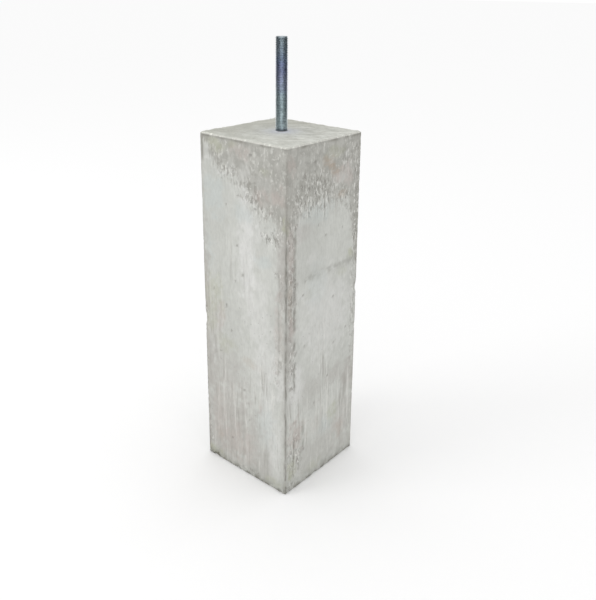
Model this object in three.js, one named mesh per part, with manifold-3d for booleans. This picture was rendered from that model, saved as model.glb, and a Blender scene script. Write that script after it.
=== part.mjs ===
// A precast concrete base block for a timber column, with a galvanised M16 threaded rod cast into its top.
// The block is a square pier that widens towards the ground. The column is drilled, stands on the
// block's top face with the rod up its middle, and is held down there.
// Millimetres, +Z up, origin at the centre of the underside. The faces look along X and Y.
import * as THREE from "three";
import { mergeVertices } from "three/addons/utils/BufferGeometryUtils.js";
import Module from "manifold-3d";

// Block
const blockHeight = 500;
const topSide = 150; // across the flats at the top face
const baseSide = 160; // across the flats at the underside
const arrisRadius = 3; // rounding of the four upright edges
const rimChamfer = 1.5; // bevel round the top face and the underside

// Rod
const rodDiameter = 16; // over the crests of the thread
const threadPitch = 2;
const rodProjection = 115; // free length above the top face
const rodEmbedment = 135; // length cast into the block
const threadRunIn = 4; // thread that goes on below the top face
const tipBevel = 1.4; // bevel at the rod's free end, 45 degrees
const castGap = 0.3; // clearance between the rod and the hole that it is cast in

// Smoothness
const arrisSteps = 4;
const boreSides = 40;
const threadSides = 16;
const chipDetail = 1;

// Worked out from the sizes above
const rodRadius = rodDiameter / 2;
const threadDepth = 0.6134 * threadPitch; // ISO metric external thread
const boreRadius = rodRadius + castGap;
const boreDepth = rodEmbedment + castGap;
const rodFoot = blockHeight - rodEmbedment;
const rodTip = blockHeight + rodProjection;
const threadStart = blockHeight - threadRunIn;

const concrete = new THREE.MeshStandardMaterial({ color: 0xbdbcb4, roughness: 0.88, metalness: 0 });
const zincPlate = new THREE.MeshStandardMaterial({ color: 0x8a97a3, roughness: 0.42, metalness: 0.9 });

const wasm = await Module();
wasm.setup();

// A closed three.js geometry as a solid that can be joined and cut.
function solidOf(geometry) {
  const bare = geometry.clone();
  bare.deleteAttribute("normal");
  bare.deleteAttribute("uv");
  const merged = mergeVertices(bare, 1e-4);
  return new wasm.Manifold(
    new wasm.Mesh({
      numProp: 3,
      vertProperties: new Float32Array(merged.attributes.position.array),
      triVerts: new Uint32Array(merged.index.array),
    }),
  );
}

function geometryOf(solid) {
  const mesh = solid.getMesh();
  const geometry = new THREE.BufferGeometry();
  geometry.setAttribute("position", new THREE.BufferAttribute(new Float32Array(mesh.vertProperties), 3));
  geometry.setIndex(new THREE.BufferAttribute(new Uint32Array(mesh.triVerts), 1));
  geometry.computeVertexNormals();
  return geometry;
}

function geometryFrom(points, triangles) {
  const geometry = new THREE.BufferGeometry();
  geometry.setAttribute("position", new THREE.Float32BufferAttribute(points.flat(), 3));
  geometry.setIndex(triangles.flat());
  return geometry;
}

// The block's width across the flats at a height, on the straight line from base to top.
function sideAt(height) {
  return baseSide + ((topSide - baseSide) * height) / blockHeight;
}

// One level of the block: a square ring with rounded corners, anticlockwise seen from above.
function roundedSquare(side, radius, height) {
  const ring = [];
  const reach = side / 2 - radius;
  for (let corner = 0; corner < 4; corner++) {
    const middle = (corner + 0.5) * (Math.PI / 2);
    const x = Math.sign(Math.cos(middle)) * reach;
    const y = Math.sign(Math.sin(middle)) * reach;
    for (let step = 0; step <= arrisSteps; step++) {
      const angle = (corner + step / arrisSteps) * (Math.PI / 2);
      ring.push([x + radius * Math.cos(angle), y + radius * Math.sin(angle), height]);
    }
  }
  return ring;
}

// A stack of rings, skinned between neighbours and closed flat at both ends.
function loftRings(rings) {
  const count = rings[0].length;
  const points = rings.flat();
  const triangles = [];
  for (let level = 0; level + 1 < rings.length; level++) {
    for (let i = 0; i < count; i++) {
      const next = (i + 1) % count;
      const low = level * count;
      const high = low + count;
      triangles.push([low + i, low + next, high + next], [low + i, high + next, high + i]);
    }
  }
  const last = (rings.length - 1) * count;
  const underMiddle = points.push([0, 0, rings[0][0][2]]) - 1;
  const topMiddle = points.push([0, 0, rings[rings.length - 1][0][2]]) - 1;
  for (let i = 0; i < count; i++) {
    const next = (i + 1) % count;
    triangles.push([underMiddle, next, i], [topMiddle, last + i, last + next]);
  }
  return geometryFrom(points, triangles);
}

// Places where an edge has been knocked: an egg-shaped bite, centred on the sharp edge.
// An upright edge is named by its corner's signs in x and y, and "at" is the share of the height.
// A rim edge is named by the side that it belongs to and by its height, and "at" goes from -1 to 1 along it.
const uprightChips = [
  { corner: [1, -1], at: 0.985, length: 9, depth: 3.4 },
  { corner: [1, -1], at: 0.035, length: 16, depth: 3.8 },
  { corner: [1, -1], at: 0.63, length: 14, depth: 3.2 },
  { corner: [-1, -1], at: 0.47, length: 26, depth: 3.4 },
  { corner: [1, 1], at: 0.56, length: 18, depth: 3.4 },
  { corner: [-1, 1], at: 0.3, length: 14, depth: 3.4 },
];
const rimChips = [
  { face: "front", level: 0, at: -0.8, length: 15, depth: 3.2 },
  { face: "front", level: 0, at: -0.2, length: 9, depth: 2.6 },
  { face: "right", level: 0, at: -0.9, length: 10, depth: 3.2 },
  { face: "right", level: 0, at: -0.16, length: 12, depth: 3 },
  { face: "front", level: blockHeight, at: -0.45, length: 9, depth: 2.4 },
  { face: "back", level: blockHeight, at: 0.3, length: 12, depth: 2.6 },
  { face: "left", level: 0, at: 0.45, length: 12, depth: 3 },
];
const faceDirections = { front: [0, -1], right: [1, 0], back: [0, 1], left: [-1, 0] };

function egg(length, depth, along) {
  const geometry = new THREE.IcosahedronGeometry(1, chipDetail);
  geometry.scale(...["x", "y", "z"].map((axis) => (axis === along ? length / 2 : depth)));
  return geometry;
}

function uprightChip({ corner, at, length, depth }) {
  const height = at * blockHeight;
  const reach = sideAt(height) / 2;
  return egg(length, depth, "z").translate(corner[0] * reach, corner[1] * reach, height);
}

function rimChip({ face, level, at, length, depth }) {
  const [outX, outY] = faceDirections[face];
  const reach = sideAt(level) / 2;
  const along = outX === 0 ? "x" : "y";
  const x = outX === 0 ? at * reach : outX * reach;
  const y = outX === 0 ? outY * reach : at * reach;
  return egg(length, depth, along).translate(x, y, level);
}

function makeBlock() {
  const levels = [
    [0, rimChamfer],
    [rimChamfer, 0],
    [blockHeight - rimChamfer, 0],
    [blockHeight, rimChamfer],
  ];
  const rings = levels.map(([height, inset]) =>
    roundedSquare(sideAt(height) - 2 * inset, arrisRadius, height),
  );
  const boreOverrun = 5;
  const bore = new THREE.CylinderGeometry(boreRadius, boreRadius, boreDepth + boreOverrun, boreSides)
    .rotateX(Math.PI / 2)
    .translate(0, 0, blockHeight - boreDepth + (boreDepth + boreOverrun) / 2);
  let block = solidOf(loftRings(rings)).subtract(solidOf(bore));
  for (const chip of uprightChips) block = block.subtract(solidOf(uprightChip(chip)));
  for (const chip of rimChips) block = block.subtract(solidOf(rimChip(chip)));
  return block;
}

// A right-hand screw thread as one closed body. Rows of points wind round the axis, root and crest in
// turn, and each turn rises by one pitch, so the last point of a row is the first of the row a pitch up.
function threadBody(foot, length) {
  const radii = [rodRadius - threadDepth, rodRadius];
  const rows = radii.length;
  const turns = Math.ceil(length / threadPitch) + 1;
  const topRow = turns * rows;
  const points = [];
  for (let row = 0; row <= topRow + rows; row++) {
    for (let side = 0; side < threadSides; side++) {
      const share = side / threadSides;
      const angle = share * 2 * Math.PI;
      const radius = radii[row % rows];
      const height = foot + (row / rows + share) * threadPitch;
      points.push([radius * Math.cos(angle), radius * Math.sin(angle), height]);
    }
  }
  const at = (row, side) => (side < threadSides ? row * threadSides + side : (row + rows) * threadSides);
  const triangles = [];
  for (let row = 0; row < topRow; row++) {
    for (let side = 0; side < threadSides; side++) {
      const corners = [at(row, side), at(row, side + 1), at(row + 1, side + 1), at(row + 1, side)];
      triangles.push([corners[0], corners[1], corners[2]], [corners[0], corners[2], corners[3]]);
    }
  }
  const footMiddle = points.push([0, 0, foot + threadPitch / 2]) - 1;
  const topMiddle = points.push([0, 0, foot + (turns + 0.5) * threadPitch]) - 1;
  for (let side = 0; side < threadSides; side++) {
    triangles.push([footMiddle, at(0, side + 1), at(0, side)]);
    triangles.push([topMiddle, at(topRow, side), at(topRow, side + 1)]);
  }
  for (let row = 0; row < rows; row++) {
    triangles.push([footMiddle, at(row, 0), at(row + 1, 0)]);
    triangles.push([topMiddle, at(topRow + row + 1, 0), at(topRow + row, 0)]);
  }
  return dropUnused(points, triangles);
}

// Keeps only the points that a triangle uses.
function dropUnused(points, triangles) {
  const kept = [];
  const place = new Map();
  const moved = triangles.map((triangle) =>
    triangle.map((index) => {
      if (!place.has(index)) place.set(index, kept.push(points[index]) - 1);
      return place.get(index);
    }),
  );
  return geometryFrom(kept, moved);
}

// A body of revolution about +Z from [radius, height] pairs that start and end on the axis.
function turned(profile, sides) {
  const outline = profile.map(([radius, height]) => new THREE.Vector2(radius, height));
  return new THREE.LatheGeometry(outline, sides).rotateX(Math.PI / 2);
}

function makeRod() {
  const joint = 0.5; // overlap that welds the threaded length to the plain one
  const clear = 1;
  const screw = threadBody(threadStart - threadPitch - joint, rodTip - threadStart + 2 * threadPitch);
  const envelope = turned(
    [
      [0, threadStart - joint],
      [rodRadius + clear, threadStart - joint],
      [rodRadius + clear, rodTip - tipBevel - clear],
      [rodRadius - tipBevel, rodTip],
      [0, rodTip],
    ],
    2 * threadSides,
  );
  const shank = turned(
    [
      [0, rodFoot],
      [rodRadius, rodFoot],
      [rodRadius, threadStart],
      [0, threadStart],
    ],
    threadSides,
  );
  return solidOf(screw).intersect(solidOf(envelope)).add(solidOf(shank));
}

function piece(name, solid, material) {
  const mesh = new THREE.Mesh(geometryOf(solid), material);
  mesh.name = name;
  return mesh;
}

const columnBase = new THREE.Group();
columnBase.add(piece("concrete_block", makeBlock(), concrete));
columnBase.add(piece("threaded_rod", makeRod(), zincPlate));

export default columnBase;
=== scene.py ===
# %% [markdown]
# # A concrete base block for a timber column
# The real object is a precast pier. Concrete is poured into a square steel mould that tapers a little, so
# that the block slides out, and a zinc-plated M16 threaded rod is pushed into the wet top. The column is
# drilled, set down on the block's top face with the rod up its middle, and held there.
# The block stands as it was cast: the sides are smooth where they met the mould, and the upper end, which
# was the last to be filled, is rough and dark.
#
# The CAD model holds the sizes. This file builds a finer surface over each of its two solids.

import math

import bmesh
import bpy
import numpy as np
from mathutils import Euler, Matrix, Quaternion, Vector, noise


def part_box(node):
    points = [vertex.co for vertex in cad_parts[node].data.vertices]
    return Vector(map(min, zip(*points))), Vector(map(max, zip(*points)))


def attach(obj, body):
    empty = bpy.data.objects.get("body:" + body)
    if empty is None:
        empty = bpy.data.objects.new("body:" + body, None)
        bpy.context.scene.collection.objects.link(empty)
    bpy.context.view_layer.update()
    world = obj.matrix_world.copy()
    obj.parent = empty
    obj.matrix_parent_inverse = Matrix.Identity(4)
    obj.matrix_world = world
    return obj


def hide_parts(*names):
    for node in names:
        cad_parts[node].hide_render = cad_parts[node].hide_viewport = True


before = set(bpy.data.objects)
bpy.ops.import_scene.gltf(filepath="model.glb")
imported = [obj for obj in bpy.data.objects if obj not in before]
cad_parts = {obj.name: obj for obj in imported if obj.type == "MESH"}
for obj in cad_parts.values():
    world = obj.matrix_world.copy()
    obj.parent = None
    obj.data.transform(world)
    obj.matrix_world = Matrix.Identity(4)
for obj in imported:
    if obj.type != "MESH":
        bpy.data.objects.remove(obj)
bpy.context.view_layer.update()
print("CAD nodes:", sorted(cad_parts))

# %% [markdown]
# ## Sizes
# Blender works in metres, but a mason thinks of a block in millimetres, so every size below is in
# millimetres and the finished points are multiplied by `mm`. What the frame can tell is read from it.

# %% Sizes
mm = 0.001
block_low, block_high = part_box("concrete_block")
rod_low, rod_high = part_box("threaded_rod")

block_height = block_high.z / mm
base_side = (block_high.x - block_low.x) / mm
top_side = 150.0
arris_radius = 3.0
rim_bevel = 1.5

rod_radius = (rod_high.x - rod_low.x) / 2 / mm
rod_tip = rod_high.z / mm
rod_foot = rod_low.z / mm
cast_gap = 0.3
bore_radius = rod_radius + cast_gap
print(f"block {base_side:.1f} to {top_side:.0f} wide, {block_height:.0f} high; rod tip at {rod_tip:.0f}")


def side_at(height):
    """The block's width across the flats at a height, on the straight line from base to top."""
    return base_side + (top_side - base_side) * height / block_height


# %% [markdown]
# ## Camera
# The photograph was taken from a standing height, close to one upright edge. The eye point, the angles and
# the lens come from fitting a plain perspective camera to the block's corners in the picture. A camera
# that looks down has `pitch` below zero, and `roll` is how far the photographer held it off level.

# %% Camera
scene = bpy.context.scene
eye = (0.598, -0.675, 0.667)
yaw = 39.98
pitch = -24.31
roll = 0.81
focal_length_px = 686.7
picture_height_px = 600
sensor_side = 36


def new_object(name, data):
    """A new object in the scene."""
    thing = bpy.data.objects.new(name, data)
    scene.collection.objects.link(thing)
    return thing


def turn_to(thing, rotation):
    thing.rotation_mode = "QUATERNION"
    thing.rotation_quaternion = rotation


camera_data = bpy.data.cameras.new("camera")
camera_data.sensor_width = sensor_side
camera_data.lens = sensor_side * focal_length_px / picture_height_px
camera = new_object("camera", camera_data)
camera.location = eye
upright = Euler((math.radians(90 + pitch), 0, math.radians(yaw))).to_quaternion()
turn_to(camera, upright @ Quaternion((0, 0, 1), math.radians(roll)))
scene.camera = camera
print(f"lens {camera_data.lens:.1f} mm")

# %% [markdown]
# ## Small tools for meshes
# Helpers that serve the whole block. `places` spreads points along a length, close together where detail is
# wanted and wide apart elsewhere, which keeps the mesh light. `wander` reads Blender's own noise at many
# points at once. Noise that is read in space, and not in face coordinates, runs over an edge with no seam.


# %% Mesh tools
def smooth_step(value):
    value = np.clip(value, 0, 1)
    return value * value * (3 - 2 * value)


def bell(value, width):
    """1 at zero, about a third at the width on both sides, and then almost nothing."""
    return np.exp(-((value / width) ** 2))


def places(length, coarse, wells):
    """Places from 0 to length, `coarse` apart, but closer round each well: (place, spacing there, reach)."""
    at = np.linspace(0, length, 6000)
    gap = np.full_like(at, coarse)
    for place, fine, reach in wells:
        gap = np.minimum(gap, fine + (coarse - fine) * np.clip(abs(at - place) / reach, 0, 1))
    count = np.concatenate([[0], np.cumsum(np.diff(at) * 2 / (gap[1:] + gap[:-1]))])
    return np.interp(np.linspace(0, count[-1], round(count[-1]) + 1), count, at)


def wander(points, size, octaves=3, seed=0):
    """Soft noise from about -1 to 1, with bumps about `size` mm across; size may differ along x, y and z."""
    shift = Vector((17.3, 9.1, 5.7)) * seed
    flat = (points / np.asarray(size)).reshape(-1, 3)
    value = np.array([noise.fractal(Vector(p) + shift, 1.0, 2.0, octaves) for p in flat])
    return value.reshape(points.shape[:-1])


def mesh_from_rings(name, rings):
    """A closed skin over a stack of rings. A fan to the middle closes the first ring and the last."""
    levels, columns = rings.shape[:2]
    points = np.concatenate([rings.reshape(-1, 3), [rings[0].mean(0)], [rings[-1].mean(0)]])
    this = np.arange(levels * columns).reshape(levels, columns)
    after = np.roll(this, -1, axis=1)
    quads = np.stack([this[:-1], after[:-1], after[1:], this[1:]], -1).reshape(-1, 4)
    first = levels * columns
    under = np.stack([after[0], this[0], np.full(columns, first)], -1)
    over = np.stack([this[-1], after[-1], np.full(columns, first + 1)], -1)
    mesh = bpy.data.meshes.new(name)
    mesh.from_pydata((points * mm).tolist(), [], quads.tolist() + under.tolist() + over.tolist())
    mesh.shade_smooth()
    return mesh


def paint_layer(mesh, name, values):
    """Keeps one number a point in the mesh, for a material to read. Points without a number get 0."""
    layer = mesh.attributes.new(name, "FLOAT", "POINT")
    whole = np.zeros(len(mesh.vertices), np.float32)
    whole[: values.size] = np.clip(values, 0, 1).ravel()
    layer.data.foreach_set("value", whole)


# %% [markdown]
# ## The block as a stack of rings
# A cube with a noise modifier would give every edge the same softness. A real cast block has flat sides,
# round arrises and a sharper rim, so the skin is lofted like a stack of square rings. The stack starts
# under the block, turns up round the foot, climbs the sides, folds over the rim, crosses the top to the
# hole round the rod and goes down into it. Each column of points keeps its face and its place across that
# face, which is what stains and holes are placed by later.

# %% The columns of the net
FRONT, RIGHT, BACK, LEFT = range(4)
net_spacing = 2.45
edge_spacing = 0.62

straight_top = top_side / 2 - arris_radius
half_round = straight_top + arris_radius * math.pi / 4
across = places(2 * half_round, net_spacing, [(0, edge_spacing, 15), (2 * half_round, edge_spacing, 15)])
across = across[:-1] - half_round
straight_share = np.tile(np.clip(across / straight_top, -1, 1), 4)
turn = np.tile(np.sign(across) * np.maximum(abs(across) - straight_top, 0) / arris_radius, 4)
face = np.repeat([FRONT, RIGHT, BACK, LEFT], len(across))
print(f"{len(turn)} columns")

# %% The levels of the net
side_heights = rim_bevel + places(
    block_height - 2 * rim_bevel,
    net_spacing,
    [(0, 0.7, 14), (block_height, 0.6, 12), (block_height - 60, 1.9, 60)],
)
bevel_steps = np.linspace(0, 1, 4)[1:-1]
under_shares = np.linspace(0.97, 0, 13)
top_shares = places(1, 0.024, [(0, 0.008, 0.1), (1, 0.006, 0.12)])
bore_heights = [block_height - 2, block_height - 8, (block_height + rod_foot) / 2, rod_foot - cast_gap]

# Each level has a height, an inset from the side, and a share of the way in to the middle or to the bore
levels = [(0, rim_bevel, share) for share in under_shares]
levels += [(rim_bevel * step, rim_bevel * (1 - step), 0) for step in bevel_steps]
levels += [(height, 0, 0) for height in side_heights]
levels += [(block_height - rim_bevel * (1 - step), rim_bevel * step, 0) for step in bevel_steps]
levels += [(block_height, rim_bevel, share) for share in top_shares]
levels += [(height, rim_bevel, 1) for height in bore_heights]
level_height, level_inset, level_share = np.array(levels, float).T

on_top = np.arange(len(levels)) >= len(levels) - len(bore_heights) - len(top_shares)
on_side = (level_inset == 0) & ~on_top
print(f"{len(levels)} levels, {2 * len(levels) * len(turn)} triangles")

# %% [markdown]
# ## Bug holes
# Air that is trapped against the mould leaves small round holes. The larger ones have to be real hollows,
# because a bump in the material has no rim. A net with 2.5 mm meshes is too wide for a 4 mm hole, so the
# net is drawn together round each hole, as a hand gathers cloth, before the surface is pressed in. That
# costs no extra points. The holes on the two faces in view are where the photograph has them, and the
# other two faces get holes of the same kind from a seeded random generator.

# %% Where the holes are
random = np.random.default_rng(7)

# face, distance across the face, depth below the top face, radius
bug_holes = [
    (FRONT, 41, 233, 2.1), (FRONT, 16, 214, 1.1), (FRONT, 60, 191, 1.2), (FRONT, 75, 179, 1.1),
    (FRONT, 64, 140, 1.5), (FRONT, 68, 72, 1.4), (FRONT, 45, 87, 1.1), (FRONT, 50, 269, 1.8),
    (FRONT, 27, 308, 1.2), (FRONT, 75, 356, 1.3), (FRONT, 85, 402, 1.2), (FRONT, 48, 449, 1.3),
    (FRONT, 92, 17, 1.6), (FRONT, 99, 84, 1.6), (FRONT, 94, 76, 1.4), (FRONT, 120, 118, 1.5),
    (RIGHT, 98, 219, 1.7), (RIGHT, 131, 277, 1.8), (RIGHT, 102, 292, 1.3), (RIGHT, 78, 125, 1.6),
    (RIGHT, 61, 108, 1.3), (RIGHT, 34, 272, 1.3), (RIGHT, 30, 197, 1.6), (RIGHT, 35, 178, 1.2),
    (RIGHT, 53, 25, 1.7), (RIGHT, 58, 374, 1.2), (RIGHT, 89, 341, 1.3), (RIGHT, 34, 441, 1.6),
    (RIGHT, 42, 56, 1.4), (RIGHT, 75, 65, 1.4), (RIGHT, 115, 122, 1.2), (RIGHT, 54, 64, 1.3),
]
holes_a_face = 18
hole_margin = 16
for hidden_face in (BACK, LEFT):
    for _ in range(holes_a_face):
        place = random.uniform(hole_margin, top_side - hole_margin)
        below_top = random.uniform(20, block_height - 25)
        bug_holes.append((hidden_face, place, below_top, random.uniform(1.0, 2.1)))
print(f"{len(bug_holes)} bug holes")


# %% Draw the net together round them
def gathered(sideways, height, middle, radius):
    """Points of one face drawn towards a hole's middle, most of all near it, but never off an edge."""
    reach = 5 * radius
    tightest = 0.3
    edge_zone = 6
    offset = np.stack([sideways - middle[0], height - middle[1]])
    pull = (1 - tightest) * (1 - smooth_step(np.hypot(*offset) / reach))
    pull = pull * np.clip((straight_top - 2 - abs(sideways)) / edge_zone, 0, 1)
    pull = pull * np.clip(np.minimum(height, block_height - height) / edge_zone - 1, 0, 1)
    return sideways - offset[0] * pull, height - offset[1] * pull


def from_middle(place):
    """A distance across a face, counted from its middle instead of its left edge."""
    return (place / top_side * 2 - 1) * straight_top


height = np.repeat(level_height[:, None], len(turn), axis=1)
sideways = straight_share * (side_at(height) / 2 - arris_radius)
for hole_face, place, below_top, radius in bug_holes:
    net = np.ix_(on_side, (face == hole_face) & (turn == 0))
    middle = (from_middle(place), block_height - below_top)
    sideways[net], height[net] = gathered(sideways[net], height[net], middle, radius)
print("net drawn together")

# %% [markdown]
# ## From the net to points in space
# Every face is laid out once, seen from the front, and then turned by a quarter, a half and three
# quarters. Rings that cross the top run in straight lines from the rim to the round hole.

# %% Points of the plain block
straight_half = side_at(height) / 2 - arris_radius - level_inset[:, None]
local_x = np.where(on_side[:, None], sideways, straight_share * straight_half) + arris_radius * np.sin(turn)
local_out = straight_half + arris_radius * np.cos(turn)
facing = (face - 1) * math.pi / 2
outward = np.stack([np.cos(facing), np.sin(facing)], -1)
along = np.stack([-np.sin(facing), np.cos(facing)], -1)
plan = local_out[..., None] * outward + local_x[..., None] * along
inner = plan / np.linalg.norm(plan, axis=-1, keepdims=True) * np.where(on_top, bore_radius, 0)[:, None, None]
plan = plan + (inner - plan) * level_share[:, None, None]
points = np.concatenate([plan, height[..., None]], -1)

normal = np.sin(turn)[:, None] * along + np.cos(turn)[:, None] * outward
depth = block_height - height
across_face = (local_x / (side_at(height) / 2) + 1) * top_side / 2


def points_of(side_face):
    return (face == side_face) & on_side[:, None]


print(f"points reach {points[..., :2].max():.2f} mm out and {points[..., 2].max():.1f} mm up")

# %% [markdown]
# ## Where the rough crust ends
# The last of the concrete was stiff and had dust in it, so the upper end of the block is darker and rough.
# It doesn't end in a line: it thins out over four centimetres, in drips and flecks. Each face has its own
# line of depths at which half of it is gone, because that follows how the shovel fell, and the material
# breaks the fading edge up into drips.

# %% The crust
crust_fade = 40
crust_waver = 7
crust_lines = {
    FRONT: ([0, 10, 24, 45, 60, 75, 100, 128, 150], [4, 12, 32, 46, 46, 60, 80, 92, 110]),
    RIGHT: ([0, 12, 30, 62, 90, 112, 128, 138, 150], [110, 94, 78, 72, 72, 78, 88, 150, 195]),
    BACK: ([0, 30, 65, 95, 125, 150], [170, 84, 64, 52, 78, 92]),
    LEFT: ([0, 20, 55, 90, 130, 150], [96, 72, 58, 80, 46, 6]),
}
crust_depth = np.zeros_like(depth)
for crust_face, (line_across, line_depth) in crust_lines.items():
    on_face = face == crust_face
    crust_depth[:, on_face] = np.interp(across_face[:, on_face], line_across, line_depth)

beyond = (depth - crust_depth + crust_waver * wander(points, 22, 3, 1)) / crust_fade
crust = smooth_step(0.5 - beyond)
crust_edge = bell(beyond, 0.42)
print(f"crust covers {crust[on_side].mean():.0%} of the sides' points")
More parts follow.
